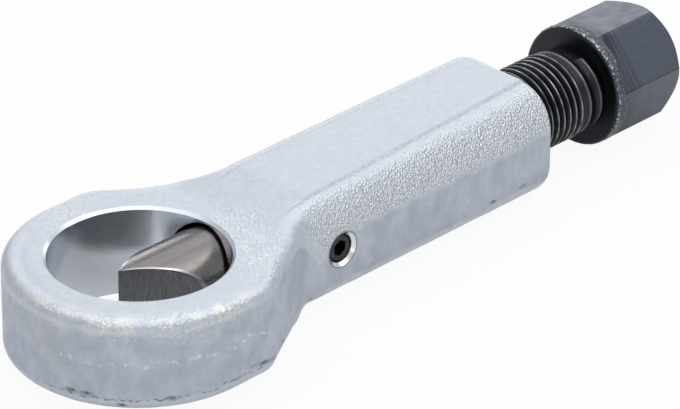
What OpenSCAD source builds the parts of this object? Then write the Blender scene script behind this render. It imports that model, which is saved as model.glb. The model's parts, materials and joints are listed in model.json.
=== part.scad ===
// Ring-type nut splitter: a forged body with an eye that goes over a seized nut, a chisel that
// slides in the shank, and a forcing screw behind it. A set screw in the side of the shank runs
// in the chisel's keyway and keeps its edge upright. Millimetres, +Z up. The origin is the centre
// of the eye, and the screw's axis is the X axis, with the hexagon at the +X end.

/* [Head] */
// Diameter of the eye that goes over the nut
eye_d = 30; // [26:0.5:32]
// Outside diameter of the ring round the eye
head_d = 44.5; // [42:0.5:50]
// Thickness of the ring
head_t = 16.2; // [15.5:0.1:19]
// Rounding of the ring's upper edge
head_top_r = 2.1; // [0.8:0.1:3]
// Rounding of the ring's lower edge
head_low_r = 1.6; // [0.8:0.1:3]
// Bevel round both rims of the eye
eye_bevel = 0.5; // [0.2:0.1:1]
// Length of the straight cheek between the ring and the neck
cheek_l = 7.8; // [5:0.1:10]
// Rounding where the cheek turns into the neck
cheek_r = 6; // [2:0.5:10]

/* [Neck] */
// Angle of the neck's flanks to the axis, in degrees
neck_angle = 30; // [26:1:38]
// Hollow radius between the neck and the shank
neck_r = 8.5; // [5:0.5:11]
// Distance from the eye's centre to the foot of the ramp between the ring's and the shank's faces
ramp_x = 18.2; // [17:0.1:20]
// Length of the ramp
ramp_l = 12; // [9:0.5:15]
// Distance from the eye's centre to where the edges begin to swell into the shoulders
swell_x = 21; // [19:0.5:23]
// Length over which the edges swell
swell_l = 8; // [6:0.5:12]

/* [Shank] */
// Width of the shank
shank_w = 24.5; // [23:0.5:28]
// Height of the shank, from its underside to the pad
shank_h = 20.4; // [19.5:0.1:24]
// Distance from the eye's centre to the shank's end
shank_end = 85; // [80:0.5:92]
// Height of the round shoulders beside the pad
shoulder_h = 7.6; // [6:0.1:8.5]
// Rounding of the shank's lower edges
shank_low_r = 6.3; // [4:0.1:7]
// Width of the flat pad on top, at its middle
pad_w = 13.4; // [11:0.1:14]
// Angle of the pad's edge on the set screw's side to the axis, in degrees
pad_taper = 3.3; // [0:0.1:4]
// Step from the pad down to the shoulders
pad_step = 0.3; // [0.1:0.05:0.6]
// Rounding of the edge round the shank's end
end_r = 1.5; // [0.6:0.1:2.5]

/* [Chisel] */
// Diameter of the chisel's bar
chisel_d = 13.2; // [12:0.1:14]
// Length of the chisel
chisel_l = 54.7; // [53:0.1:57]
// How far the edge stands past the eye's centre at rest
chisel_reach = 4.7; // [3:0.1:6]
// Angle between the two ground faces of the edge, in degrees
wedge_angle = 54; // [44:1:64]
// Gap between the chisel and its bore
guide_gap = 0.65; // [0.3:0.05:0.8]
// Width of the keyway along the chisel
keyway_w = 3.9; // [3.8:0.1:4.4]
// Depth of the keyway
keyway_depth = 1.8; // [1.4:0.1:2.4]

/* [Spindle] */
// Outside diameter of the thread
thread_d = 16; // [15:0.5:17]
// Gap between the plain cylinders that stand for the two threads
thread_gap = 0.05; // [0.02:0.01:0.1]
// Distance between the shank's end and the collar at rest
spindle_out = 17.8; // [14:0.1:22]
// Length of the smooth neck between the thread and the collar
relief_l = 5; // [3:0.1:7]
// Depth of the smooth neck below the thread's crests
relief_depth = 0.5; // [0.2:0.1:1]
// Diameter of the collar in front of the hexagon
collar_d = 21.9; // [20:0.1:23]
// Thickness of the collar
collar_t = 2.3; // [1.5:0.1:3.5]
// Hexagon across its flats
hex_af = 19; // [17:1:19]
// Length of the hexagon behind the collar
hex_l = 15.7; // [12:0.1:20]
// Bevel at the hexagon's outer end
hex_bevel = 2.1; // [1:0.1:3]
// Angle at which the hexagon stands at rest, in degrees
hex_turn = 21; // [0:1:59]

/* [Thrust ball] */
// Diameter of the ball between spindle and chisel
ball_d = 8; // [6:0.5:9]
// Gap between the ball and each of its two seats
ball_gap = 0.04; // [0.02:0.01:0.1]
// Gap between the chisel's rear face and the spindle's nose
nose_gap = 1.2; // [0.8:0.1:2]

/* [Set screw] */
// Thread diameter of the set screw
screw_d = 5; // [4:0.5:5]
// Gap between the set screw and its hole
screw_gap = 0.05; // [0.02:0.01:0.1]
// Distance from the eye's centre to the set screw
screw_x = 34; // [33:0.5:35]
// How deep the set screw sits below the shank's side
screw_sunk = 0.6; // [0.3:0.1:1]
// Diameter of the screw's dog point
dog_d = 3.5; // [2.5:0.1:3.6]
// Gap between the dog point and the keyway's floor
dog_gap = 0.3; // [0.2:0.05:0.6]
// Hexagon socket across its flats
socket_af = 2.5; // [2:0.5:2.5]
// Depth of the hexagon socket
socket_depth = 2.4; // [1.5:0.1:2.6]
// Diameter of the countersink round the set screw
sink_d = 6.2; // [5.6:0.1:7]

/* [Hidden] */
$fn = 96;

// Overlap of cutting tools past the faces that they cut
over = 1;
// Side clearance between pad and shoulder, and width of the pad's sloping edge
ledge = 0.3;
pad_foot = 0.4;
// Room left between the edge and the eye's far wall, and what stays in the eye when drawn back
edge_room = 0.3;
edge_left = 1.7;
// Room for the spindle's nose in front of the thread's end, and length of the bore's shoulder cone
nose_room = 1;
cone_l = 1;
// Lead bevels: thread mouth in the body, spindle nose, collar face, set screw ends
mouth_bevel = 0.5;
nose_bevel = 2.4;
collar_bevel = 0.75;
screw_bevel = 0.4;
keyway_room = 0.6;
// Steps along the curved stretches of the body's skin
arc_n = 7;
neck_n = 22;
cheek_n = 4;
end_n = 4;
fan_n = 40;

eye_r = eye_d / 2;
head_r = head_d / 2;
head_z = head_t / 2;
shank_y = shank_w / 2;
shank_z = shank_h / 2;
chisel_r = chisel_d / 2;
thread_r = thread_d / 2;
screw_r = screw_d / 2;
ball_r = ball_d / 2;

// Plan of the neck: where its flank's line meets the shank's side, and the tangent lengths
neck_x = cheek_l + (head_r - shank_y) / tan(neck_angle);
cheek_t = cheek_r * tan(neck_angle / 2);
neck_t = neck_r * tan(neck_angle / 2);
cheek_end = cheek_l + cheek_t * cos(neck_angle);
neck_start = neck_x - neck_t * cos(neck_angle);
neck_end = max(neck_x + neck_t, ramp_x + ramp_l, swell_x + swell_l);
pad_middle = (neck_x + shank_end) / 2;

// Travel of the chisel, from the eye's far wall to its drawn-back place
feed_in = eye_r - chisel_reach - edge_room;
feed_out = chisel_reach + eye_r - edge_left;
chisel_rear = chisel_l - chisel_reach;
ball_x = chisel_rear + nose_gap / 2;
nose_x = chisel_rear + nose_gap;
guide_r = chisel_r + guide_gap;
bore_r = thread_r + thread_gap;
bore_x = chisel_rear + nose_gap - feed_in - nose_room;
collar_x = shank_end + spindle_out;
relief_x = collar_x - relief_l;
hex_x = collar_x + collar_t;
hex_end = hex_x + hex_l;
hex_r = hex_af / 2 / cos(30);
screw_top = shank_y - screw_sunk;
screw_foot = guide_r + screw_gap;
dog_tip = chisel_r - keyway_depth + dog_gap;

// Smooth step from 0 to 1
function ease(t) = let (c = max(0, min(1, t))) c * c * (3 - 2 * c);

// Half the body's width at a distance x from the eye's centre: cheek, round turn, straight flank,
// hollow and shank
function half_width(x) =
    x <= cheek_l - cheek_t ? head_r
    : x < cheek_end ? head_r - cheek_r + sqrt(pow(cheek_r, 2) - pow(x - cheek_l + cheek_t, 2))
    : x <= neck_start ? head_r - (x - cheek_l) * tan(neck_angle)
    : x < neck_x + neck_t ? shank_y + neck_r - sqrt(pow(neck_r, 2) - pow(neck_x + neck_t - x, 2))
    : shank_y;

// Half a cross-section as [distance from the middle, height], from the top's middle over the
// pad, the shoulder and the lower edge to the underside's middle. w and pad are its half widths,
// rise and swell go from 0 on the ring to 1 on the shank, and d shrinks the section all round.
function half_section(w, pad, rise, swell, d) =
    let (
        half = head_z + rise * (shank_z - head_z) - d,
        foot = half - swell * pad_step,
        shoulder_w = shank_y - pad - pad_foot - ledge,
        rx = head_top_r + swell * (shoulder_w - head_top_r) - d,
        rz = head_top_r + swell * (shoulder_h - head_top_r) - d,
        rl = head_low_r + swell * (shank_low_r - head_low_r) - d
    )
    concat(
        [[0, half], [pad, half], [pad + pad_foot, foot]],
        [for (k = [0:arc_n]) let (a = 90 * k / arc_n)
            [w - d - rx + rx * sin(a), foot - rz + rz * cos(a)]],
        [for (k = [0:arc_n]) let (a = 90 * k / arc_n)
            [w - d - rl + rl * cos(a), rl - half - rl * sin(a)]],
        [[0, -half]]
    );

// Places of the cross-sections along one side, as [x, shrink], from the shank's end to the eye
stations = concat(
    [for (k = [0:end_n]) let (b = 90 * (1 - k / end_n))
        [shank_end - end_r * (1 - sin(b)), end_r * (1 - cos(b))]],
    [for (k = [0:neck_n - 1]) [neck_end - (neck_end - cheek_end) * k / neck_n, 0]],
    [for (k = [0:cheek_n]) [cheek_end - (cheek_end - cheek_l + cheek_t) * k / cheek_n, 0]],
    [[0, 0]]
);

// Half the pad's width at x. On the set screw's side, where sign is -1, its edge runs at an angle.
function half_pad(x, sign) =
    pad_w / 2 - (sign < 0 ? (max(x, swell_x) - pad_middle) * tan(pad_taper) : 0);

function side_row(x, d, sign) =
    let (rise = ease((x - ramp_x) / ramp_l), swell = ease((x - swell_x) / swell_l))
    [for (q = half_section(half_width(x), half_pad(x, sign), rise, swell, d)) [x, sign * q[0], q[1]]];

function fan_row(a) =
    [for (q = half_section(head_r, pad_w / 2, 0, 0, 0)) [q[0] * cos(a), q[0] * sin(a), q[1]]];

// The forging's outer skin: cross-sections along one side of the shank, round the front of the
// ring and back along the other side
module forged_skin() {
    last = len(stations) - 1;
    rows = concat(
        [for (s = stations) side_row(s[0], s[1], 1)],
        [for (k = [1:fan_n - 1]) fan_row(90 + 180 * k / fan_n)],
        [for (k = [last:-1:0]) side_row(stations[k][0], stations[k][1], -1)]
    );
    m = len(rows[0]);
    n = len(rows);
    // The last point is the middle of the end face
    points = concat([for (row = rows) each row], [[shank_end, 0, 0]]);
    middle = n * m;
    // Leaves out triangles that have shrunk to a line on the middle plane
    function triangle(a, b, c) =
        points[a] == points[b] || points[b] == points[c] || points[a] == points[c] ? [] : [[a, b, c]];
    function patch(a, b, c, d) = concat(triangle(a, b, c), triangle(a, c, d));
    faces = concat(
        [for (i = [0:n - 2], j = [0:m - 2])
            each patch(i * m + j, (i + 1) * m + j, (i + 1) * m + j + 1, i * m + j + 1)],
        [for (j = [0:m - 2]) [middle, j, j + 1]],
        [for (j = [0:m - 2]) [middle, middle - m + j + 1, middle - m + j]]
    );
    polyhedron(points, faces);
}

// A round bar along +X from x0 to x1, with its own radius at each end
module bar_x(x0, x1, r0, r1) {
    translate([x0, 0, 0]) rotate([0, 90, 0]) cylinder(h = x1 - x0, r1 = r0, r2 = r1);
}

// A round bar along -Y, from y = -y0 out to y = -y1, at the set screw
module bar_y(y0, y1, r0, r1) {
    translate([screw_x, -y0, 0]) rotate([90, 0, 0]) cylinder(h = y1 - y0, r1 = r0, r2 = r1);
}

// The eye with a bevel at both rims
module eye_cut() {
    cylinder(h = head_t + 2 * over, r = eye_r, center = true);
    for (up = [0, 1]) mirror([0, 0, up]) translate([0, 0, head_z - eye_bevel])
        cylinder(h = eye_bevel + over, r1 = eye_r, r2 = eye_r + eye_bevel + over);
}

module body() {
    color("lightsteelblue") difference() {
        forged_skin();
        eye_cut();
        bar_x(0, bore_x, guide_r, guide_r);
        bar_x(bore_x - cone_l, bore_x, guide_r, bore_r);
        bar_x(bore_x, shank_end + over, bore_r, bore_r);
        bar_x(shank_end - mouth_bevel, shank_end + over, bore_r, bore_r + mouth_bevel + over);
        bar_y(0, shank_y + over, screw_r + screw_gap, screw_r + screw_gap);
        bar_y(shank_y - (sink_d / 2 - screw_r - screw_gap), shank_y + over, screw_r + screw_gap,
            sink_d / 2 + over);
    }
}

// The plan of the chisel: a bar with a wedge-shaped front
module chisel_plan() {
    wedge_l = chisel_r / tan(wedge_angle / 2);
    polygon([
        [-chisel_reach, 0],
        [-chisel_reach + wedge_l, -chisel_r],
        [chisel_rear, -chisel_r],
        [chisel_rear, chisel_r],
        [-chisel_reach + wedge_l, chisel_r],
    ]);
}

// A slot with round ends along the chisel's side, as long as the set screw needs
module keyway_cut() {
    front = screw_x - feed_out - keyway_room;
    rear = screw_x + feed_in + keyway_room;
    translate([0, keyway_depth - chisel_r, 0]) rotate([90, 0, 0])
        linear_extrude(keyway_depth + over) {
            translate([front, -keyway_w / 2]) square([rear - front, keyway_w]);
            for (x = [front, rear]) translate([x, 0]) circle(d = keyway_w);
        }
}

module ball_seat() {
    translate([ball_x, 0, 0]) sphere(r = ball_r + ball_gap);
}

module chisel() {
    color("rosybrown") difference() {
        intersection() {
            linear_extrude(chisel_d + 2 * over, center = true) chisel_plan();
            bar_x(-chisel_reach - over, chisel_rear, chisel_r, chisel_r);
        }
        keyway_cut();
        ball_seat();
    }
}

module thrust_ball() {
    color("gainsboro") translate([ball_x, 0, 0]) sphere(r = ball_r);
}

// The turned shape of the spindle as [radius, x]: nose, thread, smooth neck and collar
module spindle_profile() {
    polygon([
        [0, nose_x],
        [thread_r - nose_bevel, nose_x],
        [thread_r, nose_x + nose_bevel],
        [thread_r, relief_x - relief_depth],
        [thread_r - relief_depth, relief_x],
        [thread_r - relief_depth, collar_x],
        [collar_d / 2 - collar_bevel, collar_x],
        [collar_d / 2, collar_x + collar_bevel],
        [collar_d / 2, hex_x],
        [0, hex_x],
    ]);
}

module spindle() {
    color("dimgray") union() {
        difference() {
            rotate([0, 90, 0]) rotate_extrude() spindle_profile();
            ball_seat();
        }
        intersection() {
            translate([hex_x, 0, 0]) rotate([0, 90, 0]) rotate(hex_turn)
                cylinder(h = hex_l, r = hex_r, $fn = 6);
            bar_x(hex_x, hex_end, hex_r - hex_bevel + hex_l, hex_r - hex_bevel);
        }
    }
}

module set_screw() {
    color("darkslategray") difference() {
        union() {
            bar_y(screw_foot, screw_top - screw_bevel, screw_r, screw_r);
            bar_y(screw_top - screw_bevel, screw_top, screw_r, screw_r - screw_bevel);
            bar_y(dog_tip, screw_foot, dog_d / 2, dog_d / 2);
        }
        translate([screw_x, -screw_top + socket_depth, 0]) rotate([90, 0, 0])
            cylinder(h = socket_depth + over, d = socket_af / cos(30), $fn = 6);
    }
}

body();
chisel();
thrust_ball();
spindle();
set_screw();
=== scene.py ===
import json
import math
from types import SimpleNamespace

import bpy
import numpy as np
from mathutils import Matrix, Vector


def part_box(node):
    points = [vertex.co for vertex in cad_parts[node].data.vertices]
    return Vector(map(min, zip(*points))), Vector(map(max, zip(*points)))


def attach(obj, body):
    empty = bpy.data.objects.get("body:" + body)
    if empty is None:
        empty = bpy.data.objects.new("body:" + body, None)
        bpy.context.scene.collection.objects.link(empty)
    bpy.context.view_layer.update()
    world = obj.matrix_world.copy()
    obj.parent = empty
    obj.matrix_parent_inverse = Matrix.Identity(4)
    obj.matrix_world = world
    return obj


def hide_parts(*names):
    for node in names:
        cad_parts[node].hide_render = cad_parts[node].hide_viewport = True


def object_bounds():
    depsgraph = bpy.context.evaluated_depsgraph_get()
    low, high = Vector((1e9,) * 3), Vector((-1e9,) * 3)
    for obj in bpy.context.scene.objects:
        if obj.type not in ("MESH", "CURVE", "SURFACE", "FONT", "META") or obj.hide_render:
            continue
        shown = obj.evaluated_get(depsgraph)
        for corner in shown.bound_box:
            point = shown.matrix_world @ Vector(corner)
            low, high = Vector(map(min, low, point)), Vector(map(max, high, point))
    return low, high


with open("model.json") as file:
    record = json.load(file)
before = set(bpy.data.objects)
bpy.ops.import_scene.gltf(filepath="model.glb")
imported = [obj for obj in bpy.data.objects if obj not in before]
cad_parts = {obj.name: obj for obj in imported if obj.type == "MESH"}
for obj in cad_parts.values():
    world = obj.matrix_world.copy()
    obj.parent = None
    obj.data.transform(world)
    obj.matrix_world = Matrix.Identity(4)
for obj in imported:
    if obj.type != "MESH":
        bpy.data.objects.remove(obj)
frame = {"record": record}

bl_info = {
    "name": "Ring Nut Splitter",
    "version": (1, 0, 0),
    "blender": (4, 5, 0),
    "location": "3D View > Sidebar > Nut Splitter",
    "description": "Makes the forged, turned and ground surfaces of a ring nut splitter",
    "category": "Add Mesh",
}

MM = 0.001
# Points closer together than this are one point
WELD = 1e-7
# Edges that turn by more than this stay crisp
CRISP = math.radians(34)

# Corners of the solids that the surfaces stand for
CAD_LOW, CAD_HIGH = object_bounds()
BODY_LOW, BODY_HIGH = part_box("body")
CHISEL_LOW, CHISEL_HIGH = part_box("chisel")
_, SPINDLE_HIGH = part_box("spindle")
SCREW_LOW, SCREW_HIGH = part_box("set_screw")
BALL_LOW, BALL_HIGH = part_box("thrust_ball")
SCREW_X = (SCREW_LOW.x + SCREW_HIGH.x) / 2
BALL_X, BALL_R = (BALL_LOW.x + BALL_HIGH.x) / 2, (BALL_HIGH.x - BALL_LOW.x) / 2
# Gap between the ball and its seats
SEAT_GAP = 0.04 * MM
EYE = {mount["name"]: mount["dims"] for mount in frame["record"]["mounts"]}["nut_eye"]


# Properties

def length(name, description, default):
    """A size in metres."""
    return bpy.props.FloatProperty(
        name=name, description=description, default=default, min=0.0, precision=5,
        subtype="DISTANCE", unit="LENGTH")


def angle(name, description, degrees):
    """An angle, given in degrees and kept in radians."""
    return bpy.props.FloatProperty(
        name=name, description=description, default=math.radians(degrees), subtype="ANGLE",
        unit="ROTATION")


def number(name, description, default):
    """A plain number, such as a share."""
    return bpy.props.FloatProperty(name=name, description=description, default=default)


def tint(name, description, default):
    """A colour of a finish."""
    return bpy.props.FloatVectorProperty(
        name=name, description=description, default=default, size=3, min=0.0, max=1.0,
        subtype="COLOR")


class ForgedBodySizes(bpy.types.PropertyGroup):
    """Sizes and colours of the forged body"""
    eye_d: length("Eye", "Diameter of the eye", 2 * EYE["r_mm"] * MM)
    eye_bevel: length("Eye bevel", "Bevel round both rims of the eye", 0.5 * MM)
    head_d: length("Ring", "Outside diameter of the ring", BODY_HIGH.y - BODY_LOW.y)
    head_t: length("Ring thickness", "Thickness of the ring", EYE["length_mm"] * MM)
    head_top_r: length("Upper edge", "Rounding of the ring's upper edge", 2.1 * MM)
    head_low_r: length("Lower edge", "Rounding of the ring's lower edge", 1.6 * MM)
    cheek_l: length("Cheek", "Length of the straight cheek beside the eye", 7.8 * MM)
    cheek_r: length("Cheek turn", "Rounding where the cheek turns into the neck", 6.0 * MM)
    neck_angle: angle("Neck angle", "Angle of the neck's flanks to the axis", 30.0)
    neck_r: length("Neck hollow", "Hollow radius between neck and shank", 8.5 * MM)
    ramp_x: length("Ramp foot", "Where the faces begin to rise to the shank's", 18.2 * MM)
    ramp_l: length("Ramp", "Length of the ramp", 12.0 * MM)
    swell_x: length("Swell", "Where the edges begin to swell into the shoulders", 21.0 * MM)
    swell_l: length("Swell length", "Length over which the edges swell", 8.0 * MM)
    neck_soft: length("Neck edge", "How much rounder the neck's edges are than the ring's", 1.5 * MM)
    shank_w: length("Shank width", "Width of the shank", 24.5 * MM)
    shank_h: length("Shank height", "Height of the shank", BODY_HIGH.z - BODY_LOW.z)
    shank_end: length("Shank end", "Distance from the eye to the shank's end", BODY_HIGH.x)
    shoulder_h: length("Shoulder", "Height of the round shoulders", 7.6 * MM)
    shank_low_r: length("Shank lower edge", "Rounding of the shank's lower edges", 6.3 * MM)
    pad_w: length("Pad", "Width of the flat pad on top, at its middle", 13.4 * MM)
    pad_taper: angle("Pad taper", "Angle of the pad's edge on the set screw's side", 3.3)
    pad_step: length("Pad step", "Step from the pad down to the shoulders", 0.3 * MM)
    pad_foot: length("Pad foot", "Width of the pad's sloping edge and the strip beside it", 0.5 * MM)
    end_r: length("End edge", "Rounding of the edge round the shank's end", 1.5 * MM)
    guide_d: length("Guide bore", "Diameter of the chisel's bore", 14.5 * MM)
    bore_d: length("Thread bore", "Diameter of the forcing screw's bore", 16.1 * MM)
    bore_x: length("Bore step", "Where the wider bore begins", 40.2 * MM)
    mouth_bevel: length("Mouth bevel", "Bevel at the mouth of the thread bore", 0.5 * MM)
    hole_d: length("Screw hole", "Diameter of the set screw's hole", 5.1 * MM)
    sink_d: length("Countersink", "Diameter of the countersink", 6.2 * MM)
    plate: tint("Plating", "Zinc plating", (0.535, 0.575, 0.64))
    plate_pale: tint("Pale plating", "Plating where it is thicker", (0.60, 0.635, 0.69))
    # Trimmed plating: darker on the side walls' trimmed band, partly the trimmed finish and partly
    # painted shade on the walls
    plate_trim: tint("Trimmed plating", "Plating where the flash was trimmed off", (0.445, 0.49, 0.56))
    # Painted highlight: this yellowish colour lights the near side of the ring's upper edge; darker, it
    # is also a stain
    plate_warm: tint("Warm plating", "Yellowish tint of rubbed edges", (0.80, 0.785, 0.735))
    # Painted shade: this colour darkens the borders of the pebble and dimple cells and the foot of the
    # pad's step; it also colours the trimming streaks
    plate_low: tint("Pebble valleys", "Plating between blasted pebbles", (0.57, 0.61, 0.675))
    # Painted glints: this near-white colour lights the middles of the pebble and dimple cells; it also
    # colours the scuffed line on the ring's wall
    plate_high: tint("Pebble tops", "Plating on top of blasted pebbles", (0.97, 0.98, 0.99))
    countersink: tint("Countersink", "Bright cut round the set screw", (0.86, 0.87, 0.88))
    # Bore plating, painted lighter than the outside plating: partly a smoother plating, partly painted
    # light standing in for the floor's light reflected into the eye
    bore: tint("Bores", "Plating in the eye and the bores", (0.80, 0.845, 0.92))
    scar: tint("Scars", "Dirt in the trimming scars", (0.13, 0.135, 0.15))


class ChiselSizes(bpy.types.PropertyGroup):
    """Sizes and colours of the chisel and its ball"""
    bar_d: length("Bar", "Diameter of the chisel's bar", CHISEL_HIGH.z - CHISEL_LOW.z)
    wedge_angle: angle("Wedge", "Angle between the two ground faces", 54.0)
    keyway_w: length("Keyway", "Width of the keyway", 3.9 * MM)
    keyway_depth: length("Keyway depth", "Depth of the keyway", 1.8 * MM)
    keyway_front: length("Keyway front", "Centre of the keyway's front end", 15.4 * MM)
    keyway_rear: length("Keyway rear", "Centre of the keyway's rear end", 44.6 * MM)
    edge_r: length("Edge break", "Width of the broken edge round the ground faces", 0.16 * MM)
    seat_gap: length("Seat gap", "Gap between ball and seat", SEAT_GAP)
    steel: tint("Tool steel", "Tempered bar", (0.175, 0.163, 0.168))
    steel_olive: tint("Olive tool steel", "Tempered bar lower down", (0.25, 0.226, 0.178))
    steel_dark: tint("Dark tool steel", "Scale near the bore", (0.12, 0.109, 0.09))
    ground: tint("Ground face", "Ground faces of the wedge", (0.205, 0.20, 0.20))
    # Painted highlight: the broken edge round the ground faces is painted this bright colour; it also
    # colours the specks in the scale
    bright: tint("Broken edge", "Bright line round the ground faces", (0.75, 0.73, 0.70))
    ball: tint("Ball", "Polished bearing ball", (0.80, 0.80, 0.82))


class SpindleSizes(bpy.types.PropertyGroup):
    """Sizes and colours of the forcing screw"""
    thread_d: length("Thread", "Outside diameter of the thread", 16.0 * MM)
    pitch: length("Pitch", "Pitch of the thread", 1.5 * MM)
    seat_gap: length("Seat gap", "Gap between ball and seat", SEAT_GAP)
    nose_bevel: length("Nose bevel", "Bevel of the nose", 2.4 * MM)
    nose_x: length("Nose", "Distance from the eye to the nose", 51.2 * MM)
    thread_end: length("Thread end", "Where the full thread runs out", 97.3 * MM)
    run_out: length("Run-out", "Length over which the last turn fades", 1.0 * MM)
    neck_d: length("Neck", "Diameter of the rolled neck's valleys", 14.7 * MM)
    ridge_h: length("Ridges", "Height of the rolled ridges on the neck", 0.45 * MM)
    ridge_w: length("Ridge width", "Half width of the rolled ridges", 0.62 * MM)
    ridge_x: length("First ridge", "Place of the first rolled ridge at its seen side", 99.15 * MM)
    ridge_pitch: length("Ridge pitch", "Distance between the two rolled ridges", 2.75 * MM)
    collar_d: length("Collar", "Diameter of the collar", 21.9 * MM)
    collar_x: length("Collar face", "Distance from the eye to the collar's face", 102.8 * MM)
    collar_t: length("Collar thickness", "Thickness of the collar", 2.3 * MM)
    collar_bevel: length("Collar edge", "Rounding of the collar's front edge", 0.75 * MM)
    hex_af: length("Hexagon", "Hexagon across its flats", 19.0 * MM)
    hex_bevel: length("Hexagon bevel", "Bevel at the hexagon's outer end", 2.1 * MM)
    hex_end: length("Hexagon end", "Distance from the eye to the end", SPINDLE_HIGH.x)
    hex_turn: angle("Hexagon turn", "Place of one corner, from +Y towards +Z", -9.0)
    oxide: tint("Black oxide", "Blackened steel", (0.036, 0.038, 0.044))
    milled: tint("Milled flats", "Blackened milled flats", (0.096, 0.109, 0.137))
    # Bare steel on the rubbed rim and worn thread crests; a quarter share of it on the rolled ridges'
    # tops is a painted highlight
    worn: tint("Worn steel", "Bare steel on worn edges and crests", (0.56, 0.56, 0.57))


class SetScrewSizes(bpy.types.PropertyGroup):
    """Sizes and colours of the set screw"""
    thread_d: length("Thread", "Thread diameter", SCREW_HIGH.x - SCREW_LOW.x)
    pitch: length("Pitch", "Pitch of the thread", 0.8 * MM)
    dog_d: length("Dog point", "Diameter of the dog point", 3.5 * MM)
    foot: length("Foot", "Distance from the axis to the thread's foot", 7.3 * MM)
    bevel: length("Bevel", "Bevel of the outer end", 0.4 * MM)
    socket_af: length("Socket", "Hexagon socket across its flats", 2.5 * MM)
    socket_depth: length("Socket depth", "Depth of the hexagon socket", 2.4 * MM)
    oxide: tint("Black oxide", "Blackened steel", (0.035, 0.036, 0.04))


class StageSizes(bpy.types.PropertyGroup):
    """Camera, floor and lamps"""
    azimuth: angle("Azimuth", "Direction that the camera looks from", -45.4076)
    elevation: angle("Elevation", "Height that the camera looks from", 29.2167)
    roll: angle("Roll", "Turn of the camera about its view", 0.3157)
    distance: length("Distance", "Distance from the camera to the eye's plane", 804.58 * MM)
    aside: length("Aside", "How far the eye lies left of the picture's middle", 32.168 * MM)
    below: length("Below", "How far the eye lies below the picture's middle", 14.802 * MM)
    lens: number("Lens", "Focal length in picture widths", 5000.0 / 680.0)
    sky: tint("Sky", "Even pale world", (0.97, 0.985, 1.0))
    sky_strength: number("Sky strength", "Radiance of the world", 0.60)
    floor: tint("Floor", "Pale floor", (0.70, 0.70, 0.705))
    floor_seen: number("Floor seen", "White share of the floor for the camera", 0.93)
    floor_mirrored: number("Floor mirrored", "White share of the floor in reflections", 0.34)


class NutSplitterSizes(bpy.types.PropertyGroup):
    """All sizes and colours of the nut splitter"""
    body: bpy.props.PointerProperty(type=ForgedBodySizes)
    chisel: bpy.props.PointerProperty(type=ChiselSizes)
    spindle: bpy.props.PointerProperty(type=SpindleSizes)
    screw: bpy.props.PointerProperty(type=SetScrewSizes)
    stage: bpy.props.PointerProperty(type=StageSizes)


# Surfaces

def ease(t):
    """Smooth step from 0 to 1: t squared times three less twice t."""
    t = np.clip(t, 0.0, 1.0)
    return t * t * (3.0 - 2.0 * t)


def bell(distance, width):
    """A bell curve: one at no distance, falling with its square over the width's square."""
    return np.exp(-(distance / width) ** 2)


def rough(points, cell, seed):
    """Smooth random heights from -1 to 1. Each corner of a lattice of cells has a number mixed from
    its whole coordinates, and a point blends its cell's eight corners by smooth steps."""
    place = points / cell
    corner = np.floor(place).astype(np.int64)
    share = ease(place - corner)
    total = np.zeros(len(points))
    for step in np.ndindex(2, 2, 2):
        x, y, z = (corner + step).T
        mixed = (x * 73856093) ^ (y * 19349663) ^ (z * 83492791) ^ (seed * 40503)
        mixed &= 0x7FFFFFFF
        mixed = ((mixed ^ (mixed >> 13)) * 1274126177) & 0x7FFFFFFF
        mixed ^= mixed >> 15
        weight = np.prod(np.where(step, share, 1.0 - share), axis=1)
        total += weight * ((mixed & 0xFFFF) / 32767.5 - 1.0)
    return total


def grid_quads(rows, columns, closed):
    """Quads between neighbours on a grid that is stored row by row. A closed grid joins its last
    column to its first."""
    row = np.arange(rows - 1)[:, None] * columns
    first = np.arange(columns if closed else columns - 1)[None, :]
    second = (first + 1) % columns
    corners = (row + first, row + second, row + columns + second, row + columns + first)
    return np.stack(corners, axis=-1).reshape(-1, 4)


def weld(points, quads):
    """Joins points that share a place, drops quads that shrink to a line, and turns every quad round
    if the volume that they close is negative."""
    keys = np.round(points / WELD).astype(np.int64)
    _, first, index = np.unique(keys, axis=0, return_index=True, return_inverse=True)
    points, quads = points[first], index.reshape(-1)[quads]
    repeated = quads == np.roll(quads, -1, axis=1)
    folded = (quads[:, 0] == quads[:, 2]) | (quads[:, 1] == quads[:, 3])
    quads = quads[(repeated.sum(axis=1) < 2) & ~folded]
    a, b, c, d = points[quads].transpose(1, 0, 2)
    volume = np.sum(a * (np.cross(b, c) + np.cross(c, d)))
    return points, quads if volume > 0 else quads[:, ::-1]


def normals(points, quads):
    """Unit normal at each point: the sum of its quads' normals, each the cross product of a quad's
    diagonals."""
    a, b, c, d = points[quads].transpose(1, 0, 2)
    facing = np.cross(c - a, d - b)
    total = np.zeros_like(points)
    for corner in quads.T:
        np.add.at(total, corner, facing)
    return total / np.maximum(np.linalg.norm(total, axis=1, keepdims=True), 1e-30)


def rings(axial, radius, angles):
    """Points of rings about the X axis: each ring's places along the axis and radii may change with
    the angle, from +Y towards +Z."""
    axial, radius = np.broadcast_arrays(axial, radius)
    axial, radius = (np.broadcast_to(part, (len(part), len(angles))) for part in (axial, radius))
    return np.stack([axial, radius * np.cos(angles), radius * np.sin(angles)], axis=-1)


def lathe(profile, columns=256):
    """A profile of (place along the axis, radius) points turned about the X axis."""
    angles = np.arange(columns) * math.tau / columns
    place, radius = np.array(profile, float).T
    points = rings(place[:, None], radius[:, None], angles)
    return weld(points.reshape(-1, 3), grid_quads(len(place), columns, True))


def to_side_axis(points, x):
    """Turns a shape about the X axis into one about the -Y axis at a place x."""
    return np.stack([x + points[:, 2], -points[:, 0], -points[:, 1]], axis=-1)


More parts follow.
